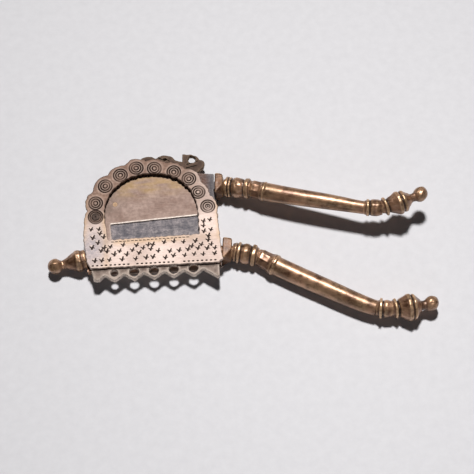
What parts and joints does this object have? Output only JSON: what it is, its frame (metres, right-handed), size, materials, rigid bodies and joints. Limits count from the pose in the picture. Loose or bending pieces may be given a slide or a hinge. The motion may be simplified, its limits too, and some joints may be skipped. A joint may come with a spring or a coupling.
{
  "type": "nutcracker",
  "caption": "Betel-nut cutter: a steel blade arm swings in the slot between two guard plates with a D-shaped window, worked by two turned handles.",
  "frame": {"origin": "middle of the tool's own box, on the surface that its back plate lies on", "axes": "+X along the jaw from the tip finial to the handles, +Y from the anvil to the arch of the guard, +Z out of the front guard plate"},
  "size_m": [0.1708, 0.0878, 0.019],
  "materials": {
    "guard_brass": "old brass with a pinkish tan tone, punched, worn bright at the edges",
    "cheek_brass": "satin tan brass with golden streaks",
    "bronze": "dark brown bronze, polished by hand on the high spots",
    "blade_steel": "blue-grey carbon steel with fine scratches",
    "pin_metal": "dark hammered rivet head",
    "copper_rivet": "copper-coloured, filed flush"
  },
  "bodies": {
    "guard_arm": {"front_guard_plate": "guard_brass", "back_guard_plate": "guard_brass", "anvil_bar": "bronze", "pierced_crest": "guard_brass", "plate_rivet_1": "guard_brass", "plate_rivet_2": "guard_brass", "plate_rivet_3": "guard_brass", "plate_rivet_4": "guard_brass", "pivot_pin": "pin_metal", "finial_cone": "bronze", "finial_bud": "bronze", "lower_collar": "bronze", "lower_bead_ferrule": "bronze", "lower_neck": "bronze", "lower_grip": "bronze", "lower_end_bead": "bronze", "lower_end_knob": "bronze"},
    "blade_arm": {"blade": "blade_steel", "front_cheek": "cheek_brass", "back_cheek": "cheek_brass", "jaw_crest": "cheek_brass", "cheek_rivet_1": "copper_rivet", "cheek_rivet_2": "copper_rivet", "cheek_rivet_3": "copper_rivet", "cheek_rivet_4": "copper_rivet", "upper_collar": "bronze", "upper_bead_ferrule": "bronze", "upper_neck": "bronze", "upper_grip": "bronze", "upper_end_bead": "bronze", "upper_end_knob": "bronze"}
  },
  "joints": [
    {"name": "blade_pivot", "type": "hinge", "parent": "guard_arm", "child": "blade_arm", "pos_m": [-0.06296, 0.01337, 0.005], "axis": [0, 0, 1], "range_deg": [-2.3, 60]}
  ]
}
